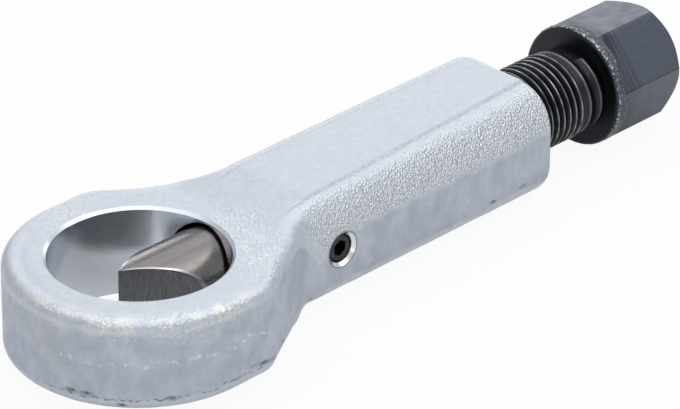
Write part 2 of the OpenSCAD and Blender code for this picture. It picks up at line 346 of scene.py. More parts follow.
def new_object(name, points, quads, materials, slot_index=0):
    """An object of smooth quads. A quad with a repeated corner is kept as a triangle."""
    repeated = quads == np.roll(quads, -1, axis=1)
    pinched = repeated.any(axis=1)
    faces = quads[~pinched].tolist() + quads[pinched][~repeated[pinched]].reshape(-1, 3).tolist()
    mesh = bpy.data.meshes.new(name)
    mesh.from_pydata(points, [], faces)
    for material in materials:
        mesh.materials.append(material)
    mesh.polygons.foreach_set("material_index", np.full(len(faces), slot_index, np.int32))
    made = bpy.data.objects.new(name, mesh)
    bpy.context.scene.collection.objects.link(made)
    return made


def cut(piece, cutters):
    """Takes cutters away from a piece and keeps what is left as its mesh."""
    for cutter in cutters:
        modifier = piece.modifiers.new("cut", "BOOLEAN")
        modifier.operation = "DIFFERENCE"
        modifier.solver = "MANIFOLD"
        modifier.object = cutter
    graph = bpy.context.evaluated_depsgraph_get()
    mesh = bpy.data.meshes.new_from_object(piece.evaluated_get(graph))
    piece.modifiers.clear()
    whole, piece.data = piece.data, mesh
    bpy.data.meshes.remove(whole)
    mesh.name = piece.name
    for cutter in cutters:
        bpy.data.objects.remove(cutter)


def places(mesh):
    """The places of a mesh's points as an array."""
    flat = np.empty(len(mesh.vertices) * 3, np.float32)
    mesh.vertices.foreach_get("co", flat)
    return flat.reshape(-1, 3).astype(float)


def paint(mesh, **zones):
    """Stores one number for each point under each name, as an attribute that a material reads."""
    for name, values in zones.items():
        layer = mesh.attributes.new(name, "FLOAT", "POINT")
        layer.data.foreach_set("value", np.clip(values, 0.0, 1.0).astype(np.float32))


def dress(piece, body, node):
    """Shades a piece smoothly with crisp edges, and puts it in its node's place on its body."""
    piece.data.shade_smooth()
    piece.data.set_sharp_from_angle(angle=CRISP)
    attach(piece, body)
    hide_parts(node)


# Finishes

def shade(colour, share):
    """A colour made darker or lighter by a share."""
    return tuple(share * part for part in colour)


class Finish:
    """A metal finish that is put together from shader nodes"""

    def __init__(self, name):
        self.material = bpy.data.materials.new(name)
        self.material.use_nodes = True
        self.tree = self.material.node_tree
        self.shader = self.tree.nodes["Principled BSDF"]
        self.place = self.add("ShaderNodeTexCoord").outputs["Object"]

    def add(self, kind, inputs=None, **settings):
        """Adds a node, makes its settings and fills its inputs: a socket is linked, a value is set."""
        node = self.tree.nodes.new(kind)
        for key, value in settings.items():
            setattr(node, key, value)
        self.fill(node, inputs or {})
        return node

    def fill(self, node, inputs):
        """Links or sets a node's inputs by name or number. None leaves an input as it is."""
        for key, value in inputs.items():
            if isinstance(value, bpy.types.NodeSocket):
                self.tree.links.new(value, node.inputs[key])
            elif value is not None:
                node.inputs[key].default_value = value

    def axis(self, name):
        """The place along one axis, in metres."""
        return self.add("ShaderNodeSeparateXYZ", {0: self.place}).outputs[name]

    def painted(self, name):
        """The number that the piece stores for each point under this name."""
        return self.add("ShaderNodeAttribute", attribute_name=name).outputs["Fac"]

    def grain(self, size, detail=3.0, stretch=(1.0, 1.0, 1.0), sharpness=0.5):
        """Cloudy noise with patches of a size in metres, drawn out along an axis by its stretch. Its
        finer layers are stronger the sharper it is."""
        mapped = self.add("ShaderNodeMapping", {"Vector": self.place, "Scale": stretch})
        noise = self.add("ShaderNodeTexNoise", {
            "Vector": mapped.outputs["Vector"], "Scale": 1.0 / size, "Detail": detail,
            "Roughness": sharpness})
        return noise.outputs["Fac"]

    def cells(self, size):
        """Rounded pebbles of a size in metres."""
        return self.add("ShaderNodeTexVoronoi", {
            "Vector": self.place, "Scale": 1.0 / size, "Smoothness": 0.5},
            feature="SMOOTH_F1").outputs["Distance"]

    def ramp(self, value, low, high, start=0.0, end=1.0):
        """Maps a number from low..high to start..end, and holds it there."""
        return self.add("ShaderNodeMapRange", {
            "Value": value, "From Min": low, "From Max": high, "To Min": start,
            "To Max": end}).outputs["Result"]

    def times(self, first, second):
        """Two numbers multiplied."""
        return self.add("ShaderNodeMath", {0: first, 1: second}, operation="MULTIPLY").outputs[0]

    def plus(self, first, second):
        """Two numbers added, held between 0 and 1."""
        return self.add(
            "ShaderNodeMath", {0: first, 1: second}, operation="ADD", use_clamp=True).outputs[0]

    def apart(self, first, second):
        """How far two numbers are apart."""
        step = self.add("ShaderNodeMath", {0: first, 1: second}, operation="SUBTRACT").outputs[0]
        return self.add("ShaderNodeMath", {0: step}, operation="ABSOLUTE").outputs[0]

    def blend(self, share, first, second):
        """Two colours mixed by a share."""
        colours = [value if isinstance(value, bpy.types.NodeSocket) else (*value, 1.0)
                   for value in (first, second)]
        return self.add("ShaderNodeMix", {
            "Factor": share, "A": colours[0], "B": colours[1]}, data_type="RGBA").outputs["Result"]

    def coats(self, colour, *layers):
        """A colour under layers, each a share and the colour that covers what lies below."""
        for share, cover in layers:
            colour = self.blend(share, colour, cover)
        return colour

    def reliefs(self, *bumps):
        """Bumps on top of each other, each a height, its depth in metres and its strength."""
        normal = None
        for height, depth, strength in bumps:
            normal = self.add("ShaderNodeBump", {
                "Height": height, "Distance": depth, "Strength": strength,
                "Normal": normal}).outputs["Normal"]
        return normal

    def metal(self, colour, roughness, normal=None):
        """Fills the metal shader's inputs and gives the material back."""
        self.fill(self.shader, {
            "Metallic": 1.0, "Base Color": colour, "Roughness": roughness, "Normal": normal})
        return self.material


def forging_patterns(finish):
    """What the forging's finish is made of: the zones that the piece stores, and the grain in them."""
    patchy = finish.ramp(finish.grain(2.0 * MM, 4.0), 0.38, 0.6, 0.25, 1.3)
    streaks = finish.grain(0.45 * MM, 4.0, (1.0, 1.0, 0.08))
    scuffs = finish.grain(1.5 * MM, 8.0, (1.0, 1.0, 0.7), 0.72)
    return SimpleNamespace(
        blast=finish.painted("blast"), trim=finish.painted("trim"),
        hammer=finish.times(finish.painted("hammer"), patchy),
        drawn=finish.times(finish.painted("drawn"), finish.ramp(streaks, 0.42, 0.68, 0.0, 0.45)),
        mottle=finish.grain(1.1 * MM, 5.0), fine=finish.grain(0.34 * MM),
        pebbles=finish.cells(0.38 * MM), dimples=finish.cells(0.55 * MM), streaks=streaks,
        scuffs=finish.ramp(scuffs, 0.36, 0.70, 0.0, 0.8))


def plating_colour(finish, size, skin):
    """Colour of the plating: mottled, pebbled where it was blasted, darker with streaks, scuffs and
    blotches where the flash was trimmed off, and dimpled where it was hammered. Pebbles and dimples
    carry painted glints in their cells' middles and painted shade at their borders, and the trimmed
    band's darker plating is partly painted shade on the side walls."""
    cloudy = finish.ramp(skin.mottle, 0.35, 0.65)
    # Painted glints in the pebble cells' middles and painted shade at their borders
    pebbled = finish.blend(finish.ramp(skin.pebbles, 0.2, 0.6), size.plate_high, size.plate_low)
    # Trimmed band's plating, darker partly as painted shade on the side walls
    trimmed = finish.blend(cloudy, size.plate_trim, shade(size.plate_trim, 1.1))
    blotches = finish.ramp(finish.grain(4.5 * MM, 5.0, sharpness=0.6), 0.4, 0.62, 0.0, 0.42)
    # Painted glints in the dimple cells' middles and painted shade at their borders
    hammered = finish.blend(
        finish.ramp(skin.dimples, 0.15, 0.55), size.plate_high, shade(size.plate_low, 0.9))
    return finish.coats(
        size.plate, (cloudy, size.plate_pale), (finish.times(skin.blast, 0.58), pebbled),
        (skin.trim, trimmed), (skin.drawn, size.plate_low),
        (finish.times(skin.trim, skin.scuffs), size.plate_pale),
        (finish.times(skin.trim, blotches), shade(size.plate_trim, 0.78)),
        (finish.times(skin.hammer, 0.5), hammered))


def wall_line(finish, wander, gaps, levels, widths, share):
    """A broken line round the ring's wall: it wanders between two levels, fades over its widths and
    is there only where the gaps leave it."""
    away = finish.apart(finish.axis("Z"), finish.ramp(wander, 0.3, 0.7, *levels))
    line = finish.times(finish.ramp(away, *widths, share, 0.0), gaps)
    return finish.times(finish.painted("torn"), line)


def screw_ring(finish, size):
    """A dark line round the set screw's countersink, by the distance from the screw's axis, on its own
    side of the shank only."""
    aside = finish.add(
        "ShaderNodeVectorMath", {0: finish.place, 1: (SCREW_X, 0.0, 0.0)}, operation="SUBTRACT")
    flat = finish.add("ShaderNodeVectorMath", {
        0: aside.outputs["Vector"], 1: (1.0, 0.0, 1.0)}, operation="MULTIPLY")
    away = finish.add("ShaderNodeVectorMath", {0: flat.outputs["Vector"]}, operation="LENGTH")
    rim = size.sink_d / 2
    return finish.times(
        finish.ramp(away.outputs["Value"], rim + 0.30 * MM, rim + 0.16 * MM),
        finish.ramp(finish.axis("Y"), -8.0 * MM, -9.0 * MM, 0.0, 0.65))


def worn_colour(finish, size, skin, plating):
    """The plating's colour with its wear and painted light: rubbed edges with a painted yellowish
    highlight on the ring's near upper edge, a stain, scars, a scuffed line half way up the ring's wall,
    torn flash along its lower edge, painted shade along the foot of the pad's step, and a dark line
    round the set screw."""
    wander, broken = finish.grain(3.0 * MM), finish.grain(0.9 * MM)
    # Painted highlight: yellowish colour on the near side of the ring's upper edge
    rubbed = finish.times(finish.painted("warm"), finish.ramp(wander, 0.4, 0.7))
    stain = finish.times(finish.painted("stain"), finish.ramp(skin.fine, 0.4, 0.65, 0.1, 0.8))
    scuffed = wall_line(finish, wander, finish.ramp(broken, 0.45, 0.65),
                        (-0.3 * MM, 1.1 * MM), (0.1 * MM, 0.55 * MM), 0.42)
    torn = wall_line(finish, wander, finish.ramp(broken, 0.44, 0.56),
                     (-6.5 * MM, -5.6 * MM), (0.05 * MM, 0.17 * MM), 0.85)
    # Painted shade along the foot of the pad's step
    step_shade = finish.times(finish.painted("groove"), finish.ramp(skin.mottle, 0.35, 0.6, 0.25, 0.6))
    return finish.coats(
        plating, (rubbed, size.plate_warm), (stain, shade(size.plate_warm, 0.62)),
        (finish.painted("scar"), size.scar), (scuffed, size.plate_high), (torn, size.scar),
        (step_shade, shade(size.plate_low, 0.6)), (screw_ring(finish, size), size.scar))


def zinc_plated_forging(size):
    """Zinc plating on a shot-blasted forging, with its wear, painted glints, highlight and shade, and
    its fine relief.
    """
    finish = Finish("zinc_plated_forging")
    skin = forging_patterns(finish)
    colour = worn_colour(finish, size, skin, plating_colour(finish, size, skin))
    normal = finish.reliefs(
        (skin.fine, 0.04 * MM, 0.6), (skin.mottle, 0.10 * MM, 0.4),
        (skin.streaks, 0.05 * MM, skin.drawn), (skin.scuffs, 0.05 * MM, finish.times(skin.trim, 0.5)),
        (skin.dimples, 0.22 * MM, skin.hammer), (skin.pebbles, 0.45 * MM, skin.blast))
    roughness = finish.plus(
        finish.ramp(skin.mottle, 0.3, 0.7, 0.43, 0.57), finish.times(skin.blast, -0.13))
    return finish.metal(colour, roughness, normal)


def bored_steel(size):
    """Plated bores with fine turning lines round them, smoother than outside and painted lighter,
    partly as painted light reflected from the floor into the eye, and a duller bevel round the eye.
    """
    finish = Finish("bored_steel")
    cloud = finish.grain(4.0 * MM)
    rim = size.head_t / 2 - size.eye_bevel
    bevel = finish.ramp(finish.apart(finish.axis("Z"), 0.0), rim, rim + 0.05 * MM)
    # The bores' plating is painted lighter, partly as painted light reflected from the floor into the
    # eye
    colour = finish.coats(
        shade(size.bore, 0.9), (cloud, size.bore), (bevel, shade(size.plate_pale, 1.2)))
    normal = finish.reliefs((finish.grain(0.5 * MM, stretch=(1.0, 1.0, 3.0)), 0.03 * MM, 0.25))
    roughness = finish.plus(
        finish.ramp(cloud, 0.3, 0.7, 0.13, 0.22), finish.times(bevel, 0.16))
    return finish.metal(colour, roughness, normal)


def countersunk_steel(size):
    """A bright, freshly cut cone with fine turning lines."""
    finish = Finish("countersunk_steel")
    lines = finish.grain(0.2 * MM)
    colour = finish.blend(lines, shade(size.countersink, 0.85), size.countersink)
    normal = finish.reliefs((lines, 0.02 * MM, 0.3))
    return finish.metal(colour, finish.ramp(lines, 0.3, 0.7, 0.18, 0.28), normal)


def tempered_steel(size):
    """A tempered bar, brown-grey and mottled towards its bore, with dark ground faces and a bright
    broken edge whose bright line is a painted highlight."""
    finish = Finish("tempered_steel")
    scale, ground = finish.painted("scale"), finish.painted("ground")
    mottled = finish.ramp(finish.grain(0.45 * MM, 5.0), 0.53, 0.64, 0.0, 0.85)
    streaks = finish.ramp(finish.grain(1.2 * MM, stretch=(0.06, 1.0, 1.0)), 0.38, 0.66, 0.15, 0.6)
    specks = finish.ramp(finish.grain(0.35 * MM), 0.66, 0.74)
    lines = finish.grain(0.25 * MM, stretch=(1.0, 1.0, 0.1))
    face = finish.blend(
        finish.ramp(lines, 0.35, 0.65), shade(size.ground, 0.8), shade(size.ground, 1.2))
    # The broken edge's bright line is a painted highlight
    colour = finish.coats(
        size.steel, (finish.painted("olive"), size.steel_olive), (streaks, shade(size.steel, 1.7)),
        (finish.times(scale, mottled), size.steel_dark), (finish.times(scale, specks), size.bright),
        (ground, face), (finish.painted("edge"), size.bright))
    normal = finish.reliefs(
        (finish.grain(0.3 * MM), 0.03 * MM, 0.5), (lines, 0.04 * MM, finish.times(ground, 0.6)))
    return finish.metal(colour, finish.ramp(finish.grain(1.5 * MM), 0.3, 0.7, 0.22, 0.32), normal)


def black_oxide(size):
    """Blackened steel: milled flats with fine cutter marks, worn crests, rolled ridges whose lighter
    tops are a painted highlight, and a rough, rubbed rim.
    """
    finish = Finish("black_oxide")
    rim, marks = finish.painted("rim"), finish.painted("marks")
    lines = finish.grain(0.24 * MM, 1.0, (1.0, 0.02, 0.02))
    pits = finish.grain(0.4 * MM, 4.0)
    brushed = finish.ramp(finish.grain(0.3 * MM, stretch=(0.08, 1.0, 1.0)), 0.3, 0.7)
    flat = finish.coats(
        shade(size.milled, 0.92), (brushed, shade(size.milled, 1.08)),
        (finish.times(marks, finish.ramp(lines, 0.42, 0.58)), shade(size.milled, 0.45)))
    rubbed = finish.plus(
        finish.times(rim, finish.ramp(pits, 0.57, 0.68, 0.0, 0.5)),
        finish.times(finish.painted("rim_edge"), finish.ramp(pits, 0.50, 0.60)))
    colour = finish.coats(
        size.oxide, (finish.painted("flat"), flat), (finish.times(rim, 0.85), size.milled),
        (rubbed, size.worn), (finish.painted("crest"), size.worn))
    normal = finish.reliefs(
        (finish.grain(0.35 * MM), 0.03 * MM, 0.35), (lines, 0.04 * MM, finish.times(marks, 0.6)),
        (pits, 0.2 * MM, rim))
    roughness = finish.ramp(finish.grain(2.5 * MM, 4.0), 0.3, 0.7, 0.30, 0.42)
    return finish.metal(colour, roughness, normal)


def screw_black(size):
    """Blackened steel of the small screw."""
    finish = Finish("screw_black")
    cloud = finish.grain(0.9 * MM)
    colour = finish.blend(cloud, size.oxide, shade(size.oxide, 1.8))
    normal = finish.reliefs((finish.grain(0.25 * MM), 0.02 * MM, 0.4))
    return finish.metal(colour, finish.ramp(cloud, 0.3, 0.7, 0.28, 0.42), normal)


def polished_ball(size):
    """Polished bearing steel with faint rolling marks."""
    finish = Finish("polished_ball")
    cloud = finish.grain(0.7 * MM, 4.0)
    colour = finish.blend(cloud, shade(size.ball, 0.9), size.ball)
    return finish.metal(colour, finish.ramp(cloud, 0.3, 0.7, 0.06, 0.14))


# Forged body

# Counts of points along a half section and along the perimeter
TOP_COUNT, FOOT_COUNT, LEDGE_COUNT, ARC_COUNT, WALL_COUNT, UNDER_COUNT = 30, 6, 8, 24, 26, 22
CAP_COUNT, END_COUNT, SHANK_COUNT, NECK_COUNT = 10, 8, 134, 58
TURN_COUNT, CHEEK_COUNT, FAN_COUNT = 12, 14, 190
# Shares of the ring's top face at which the columns of the pad's edge and foot run on
RING_PAD, RING_FOOT = 0.72, 0.86
# The pad's step begins this far behind the swell, and is whole as far again behind that
PAD_LAG = 4.0 * MM
# Length over which the neck's edges grow rounder
SOFT_RUN = 8.0 * MM


def body_plan(size):
    """Where cheek, flank, hollow, ramp and shank meet, from the driving sizes: a rounding of radius r
    between lines at an angle begins r times the tangent of half the angle before their corner."""
    slope, half = math.tan(size.neck_angle), math.tan(size.neck_angle / 2.0)
    plan = SimpleNamespace(
        head_r=size.head_d / 2, head_z=size.head_t / 2, shank_y=size.shank_w / 2,
        shank_z=size.shank_h / 2, slope=slope, size=size)
    corner = size.cheek_l + (plan.head_r - plan.shank_y) / slope
    plan.cheek_start = size.cheek_l - size.cheek_r * half
    plan.cheek_end = size.cheek_l + size.cheek_r * half * math.cos(size.neck_angle)
    plan.neck_start = corner - size.neck_r * half * math.cos(size.neck_angle)
    plan.hollow_end = corner + size.neck_r * half
    plan.neck_end = max(
        plan.hollow_end, size.ramp_x + size.ramp_l, size.swell_x + size.swell_l)
    plan.pad_middle = (corner + size.shank_end) / 2
    return plan


def rise_and_swell(x, plan):
    """Two shares that go from 0 on the ring to 1 on the shank: how far the faces have risen along the
    ramp, and how far the edges have swelled into shoulders."""
    size = plan.size
    return ease((x - size.ramp_x) / size.ramp_l), ease((x - size.swell_x) / size.swell_l)


def half_pad(x, side, plan):
    """Half the pad's width at x. On the set screw's side, where side is negative, its edge leans."""
    lean = (np.maximum(x, plan.size.swell_x) - plan.pad_middle) * math.tan(plan.size.pad_taper)
    return plan.size.pad_w / 2 - np.where(side < 0, lean, 0.0)


def half_width(x, plan):
    """Half the body's width at a place x: cheek, circle arc, straight flank, hollow arc and shank."""
    size = plan.size
    arc = np.sqrt(np.maximum(size.cheek_r ** 2 - (x - plan.cheek_start) ** 2, 0.0))
    hollow = np.sqrt(np.maximum(size.neck_r ** 2 - (plan.hollow_end - x) ** 2, 0.0))
    return np.select(
        [x <= plan.cheek_start, x < plan.cheek_end, x <= plan.neck_start, x < plan.hollow_end],
        [np.full_like(x, plan.head_r), plan.head_r - size.cheek_r + arc,
         plan.head_r - (x - size.cheek_l) * plan.slope, plan.shank_y + size.neck_r - hollow],
        plan.shank_y)


def half_sections(x, width, shrink, side, plan):
    """Half cross-sections as two arrays, distance from the middle and height, one row for each place.
    A row runs from the top's middle over the pad's step, a quarter-ellipse shoulder, the side wall
    and a quarter-circle lower edge to the underside's middle."""
    size = plan.size
    x, w, d = (np.asarray(part, float)[:, None] for part in (x, width, shrink))
    rise, swell = rise_and_swell(x, plan)
    pad = half_pad(x, side, plan)
    top = plan.head_z + rise * (plan.shank_z - plan.head_z) - d
    foot = top - ease((x - size.swell_x - PAD_LAG) / PAD_LAG) * size.pad_step
    shoulder_w = plan.shank_y - pad - size.pad_foot
    soft = size.neck_soft * ease((x - size.cheek_l) / SOFT_RUN) * (1.0 - swell)
    across = size.head_top_r + soft + swell * (shoulder_w - size.head_top_r) - d
    down = size.head_top_r + soft + swell * (size.shoulder_h - size.head_top_r) - d
    low_r = size.head_low_r + swell * (size.shank_low_r - size.head_low_r) - d
    reach = w - d
    flat = reach - across
    pad_edge = flat * RING_PAD + swell * (pad - flat * RING_PAD)
    pad_end = flat * RING_FOOT + swell * (pad + size.pad_foot - flat * RING_FOOT)
    to_pad = np.linspace(0.0, 1.0, TOP_COUNT, endpoint=False)
    to_foot = np.linspace(0.0, 1.0, FOOT_COUNT, endpoint=False)
    to_flat = np.linspace(0.0, 1.0, LEDGE_COUNT)
    turn = np.linspace(0.0, math.pi / 2, ARC_COUNT + 1)
    level = np.linspace(0.0, 1.0, WALL_COUNT + 1)[1:-1]
    inward = np.linspace(1.0, 0.0, UNDER_COUNT + 1)[1:]
    wall_top, wall_low = foot - down, low_r - top
    y = np.hstack([
        pad_edge * to_pad, pad_edge + (pad_end - pad_edge) * to_foot,
        pad_end + (flat - pad_end) * to_flat, flat + across * np.sin(turn[1:]), reach + 0.0 * level,
        reach - low_r + low_r * np.cos(turn), (reach - low_r) * inward])
    z = np.hstack([
        top + 0.0 * to_pad, top + (foot - top) * ease(to_foot), foot + 0.0 * to_flat,
        wall_top + down * np.cos(turn[1:]), wall_top + (wall_low - wall_top) * level,
        wall_low - low_r * np.sin(turn), 0.0 * inward - top])
    return y, z


def side_skin(side, plan):
    """One side of the skin, from the middle of the shank's end to the eye."""
    size = plan.size
    bend = np.linspace(math.pi / 2, 0.0, END_COUNT + 1)
    stretches = [
        (size.shank_end - size.end_r, plan.neck_end, SHANK_COUNT),
        (plan.neck_end, plan.cheek_end, NECK_COUNT),
        (plan.cheek_end, plan.cheek_start, TURN_COUNT), (plan.cheek_start, 0.0, CHEEK_COUNT)]
    x = np.concatenate(
        [size.shank_end - size.end_r * (1.0 - np.sin(bend))]
        + [np.linspace(start, end, count + 1)[1:] for start, end, count in stretches])
    shrink = np.zeros_like(x)
    shrink[:END_COUNT + 1] = size.end_r * (1.0 - np.cos(bend))
    y, z = half_sections(x, half_width(x, plan), shrink, side, plan)
    inward = np.linspace(0.0, 1.0, CAP_COUNT, endpoint=False)[:, None]
    x = np.concatenate([np.full(CAP_COUNT, size.shank_end), x])[:, None] + 0.0 * y[:1]
    y, z = np.vstack([inward * y[0], y]), np.vstack([inward * z[0], z])
    return np.stack([x, side * y, z], axis=-1)


def forged_skin(plan):
    """The forging's outer skin: cross-sections along one side from the shank's end to the eye, turned
    round the front of the ring, and back along the other side."""
    around = (math.pi / 2 + math.pi * np.arange(1, FAN_COUNT) / FAN_COUNT)[:, None]
    reach, height = half_sections([0.0], [plan.head_r], [0.0], 1.0, plan)
    front = np.stack(
        [reach * np.cos(around), reach * np.sin(around), height + 0.0 * around], axis=-1)
    skin = np.concatenate([side_skin(1.0, plan), front, side_skin(-1.0, plan)[::-1]])
    return weld(skin.reshape(-1, 3), grid_quads(*skin.shape[:2], False))


def edge_distance(points, plan):
    """Distance inwards from the body's outline in plan."""
    x, y, _ = points.T
    return np.where(
        x < 0.0, plan.head_r - np.hypot(x, y), half_width(np.maximum(x, 0.0), plan) - np.abs(y))


# Torn flash along the lower edge: place round the ring in degrees or along the shank, height, length
RING_TEARS = ((-156.0, -5.6, 1.9), (-163.0, -5.7, 1.5), (-120.0, -6.2, 1.6), (-141.0, -7.0, 1.2))
SIDE_TEARS = ((77.6, -5.3, 1.4), (70.3, -5.5, 1.2), (27.0, -6.9, 1.3), (6.5, -5.6, 5.2))


def body_zones(points, plan):
    """Where the skin is shot-blasted and where its flash was trimmed off: bands of height on the side
    walls, with wandering borders."""
    x, y, z = points.T
    _, swell = rise_and_swell(x, plan)
    wander = rough(points, 2.4 * MM, 11) * 0.5 * MM + rough(points, 0.8 * MM, 12) * 0.25 * MM
    dip = 3.4 * MM * bell(x - 29.2 * MM, 2.6 * MM) * (y < 0)
    upper = 5.9 * MM + swell * (2.7 - 5.9) * MM + wander - dip
    lower = -6.4 * MM + wander
    trim = ease((upper - z) / (0.5 * MM)) * ease((z - lower) / (0.5 * MM))
    off_pad = 0.25 + 0.75 * ease((np.abs(y) - half_pad(x, y, plan) - 0.8 * MM) / (4.2 * MM))
    off_pad = off_pad * (np.abs(y) > half_pad(x, y, plan) + 0.2 * MM)
    border = 25.0 * MM + 0.3 * (9.8 * MM - z) + 2.0 * wander
    on_shank = ease((x - border) / (1.5 * MM))
    over = ease((z - upper + 0.3 * MM) / (0.9 * MM)) * off_pad
    under = ease((lower - z) / (0.7 * MM))
    return on_shank * np.maximum(over, under), trim, swell


def tears(points, plan):
    """How much of each point lies in a torn spot: an ellipse of bell curves along the wall and up it,
    with a ragged rim."""
    x, y, z = points.T
    ragged = 1.0 + 0.7 * rough(points, 0.5 * MM, 9) * ((x < 0.0) | (x > 20.0 * MM))
    around = np.degrees(np.arctan2(y, x))
    total = np.zeros(len(points))
    for turn, height, long in RING_TEARS:
        arc = np.radians(around - turn) * plan.head_r
        total += bell(arc, 0.5 * long * MM) * bell(z - height * MM, 0.28 * MM) * (x < 0)
    for place, height, long in SIDE_TEARS:
        slope = z - height * MM + 0.18 * (x - place * MM) * (place < 20.0)
        total += bell(x - place * MM, 0.5 * long * MM) * bell(slope, 0.2 * MM) * (y < 0)
    wall = edge_distance(points, plan) < 2.0 * MM
    return np.clip(total * ragged, 0.0, 1.0) * wall


def forging_relief(points, facing, plan):
    """Height of the forging's unevenness: broad and small lumps, a shallow channel inside the ring's
    rounded upper edge, pebbles, trimming streaks, torn flash and a burr along the lower edge."""
    z = points[:, 2]
    blast, trim, swell = body_zones(points, plan)
    on_top = ease((facing[:, 2] - 0.6) / 0.3)
    lumps = 0.03 * MM * rough(points, 4.5 * MM, 1) + 0.016 * MM * rough(points, 1.7 * MM, 2)
    channel = bell(edge_distance(points, plan) - 3.1 * MM, 0.75 * MM) * on_top * (1.0 - swell)
    pebbles = blast * (rough(points, 0.6 * MM, 3) + 0.5 * rough(points, 1.2 * MM, 4)) * 0.022 * MM
    streaks = trim * rough(points, np.array([1.1, 1.1, 14.0]) * MM, 5) * 0.015 * MM
    burr_edge = bell(z + 6.5 * MM + 0.25 * MM * rough(points, 3.0 * MM, 6), 0.22 * MM)
    burr = burr_edge * (0.6 + rough(points, 1.4 * MM, 7)) * 0.045 * MM
    burr = burr * (1.0 - np.abs(facing[:, 2]))
    low = 0.10 * MM * channel + 0.22 * MM * tears(points, plan)
    return lumps * (1.0 - 0.5 * trim) - low + pebbles + streaks + burr


def body_cutters(plan, finishes):
    """What is taken out of the forging: the eye with its bevels, the stepped bore, and the set screw's
    hole with its countersink."""
    size, over = plan.size, 1.0 * MM
    eye_r, bevel = size.eye_d / 2, size.eye_bevel
    rim, tall = plan.head_z - bevel, plan.head_z + over
    eye = lathe([
        (-tall, 0.0), (-tall, eye_r + bevel + over), (-rim, eye_r), (rim, eye_r),
        (tall, eye_r + bevel + over), (tall, 0.0)])
    guide_r, bore_r, mouth = size.guide_d / 2, size.bore_d / 2, size.mouth_bevel
    bore = lathe([
        (0.0, 0.0), (0.0, guide_r), (size.bore_x - 1.0 * MM, guide_r), (size.bore_x, bore_r),
        (size.shank_end - mouth, bore_r), (size.shank_end + over, bore_r + mouth + over),
        (size.shank_end + over, 0.0)])
    hole_r, sink_r = size.hole_d / 2, size.sink_d / 2
    hole = lathe([
        (0.0, 0.0), (0.0, hole_r), (plan.shank_y - (sink_r - hole_r), hole_r),
        (plan.shank_y + over, sink_r + over), (plan.shank_y + over, 0.0)], 96)
    return [
        new_object("eye_cutter", eye[0][:, [1, 2, 0]], eye[1], finishes, 1),
        new_object("bore_cutter", *bore, finishes, 1),
        new_object("hole_cutter", to_side_axis(hole[0], SCREW_X), hole[1], finishes, 2)]


def paint_body(mesh, plan):
    """Stores where the forging is blasted, trimmed, drawn, hammered, rubbed, stained, torn or dirty,
    where a highlight is painted on the ring's near upper edge and where shade is painted along the
    pad's step: smooth steps and bell curves of the height, the place and the distance from the outline."""
    size, at = plan.size, places(mesh)
    x, y, z = at.T
    blast, trim, swell = body_zones(at, plan)
    edge = edge_distance(at, plan)
    near = ease(0.5 - y / (24.0 * MM))
    wall = ease((2.6 * MM - edge) / MM)
    # Rubbed upper edge; on the near side it carries a painted yellowish highlight
    rubbed = bell(edge - 0.9 * MM, 1.3 * MM) * ease((z - 5.0 * MM) / (1.4 * MM))
    # The top is hammered along a line beside the eye and in a spot on the far side
    along = np.clip((y + 19.0 * MM) / (14.0 * MM), 0.0, 1.0)
    beside = np.hypot(x - (12.9 + 3.7 * along) * MM, y - (14.0 * along - 19.0) * MM)
    pitted = bell(np.hypot(x, y - 18.0 * MM), 5.0 * MM)
    hammer = (0.16 + 0.8 * bell(beside, 5.0 * MM) + 0.5 * pitted) * ease((z - 6.5 * MM) / MM)
    # Dimples on the near side of the upper wall, whose colours paint glints and shade that break up the
    # edge's highlight
    upper = wall * ease((z - 2.5 * MM) / (3.0 * MM)) * ease((8.0 * MM - x) / (8.0 * MM))
    hammer = hammer + upper * near * (0.45 + 0.5 * rough(at, 4.0 * MM, 14))
    on_pad = ease((z - plan.shank_z + 0.15 * MM) / (0.1 * MM))
    from_foot = np.abs(y) - half_pad(x, y, plan) - 0.6 * size.pad_foot
    paint(
        mesh, blast=blast, trim=trim,
        drawn=trim * swell * (0.5 + 0.9 * rough(at, 3.0 * MM, 13)),
        hammer=hammer * (1.0 - swell) + 0.12 * on_pad * swell,
        # Painted highlight on the near side of the ring's upper edge
        warm=rubbed * near * ease((6.0 * MM - x) / (6.0 * MM)),
        stain=bell(np.hypot(y + 1.0 * MM, z - 3.0 * MM), 3.6 * MM) * (x < 0),
        torn=wall * near * ease((16.0 * MM - x) / (2.0 * MM)),
        # Painted shade along the foot of the pad's step
        groove=bell(from_foot, 0.6 * size.pad_foot) * swell * (z > 9.0 * MM),
        scar=1.3 * tears(at, plan))


def make_body(size):
    """The forged body: its skin is moved along its normals by the relief, except on the shank's end,
    and the eye, the bores and the screw hole are cut out."""
    plan = body_plan(size)
    points, quads = forged_skin(plan)
    facing = normals(points, quads)
    height = forging_relief(points, facing, plan)
    end_face = points[:, 0] > size.shank_end - 0.2 * MM
    points = points + facing * np.where(end_face, 0.0, height)[:, None]
    finishes = [zinc_plated_forging(size), bored_steel(size), countersunk_steel(size)]
    piece = new_object("body_forging", points, quads, finishes)
    cut(piece, body_cutters(plan, finishes))
    paint_body(piece.data, plan)
    dress(piece, "body", "body")


# Turned pieces

# Depth of a sixty-degree thread in pitches
THREAD_DEPTH = 0.6134
# Rows of a thread's profile within one pitch: crest, flanks and root
THREAD_STEPS = np.array(
    [0.0, 0.0625, 0.12, 0.25, 0.36, 0.4166, 0.5, 0.5834, 0.64, 0.75, 0.88, 0.9375])
# Columns within one side of a hexagon, in degrees, close together at its corners
SIDE_STEPS = np.concatenate([[0.0, 0.5, 1.1], np.linspace(2.2, 57.8, 21), [58.9, 59.5]])


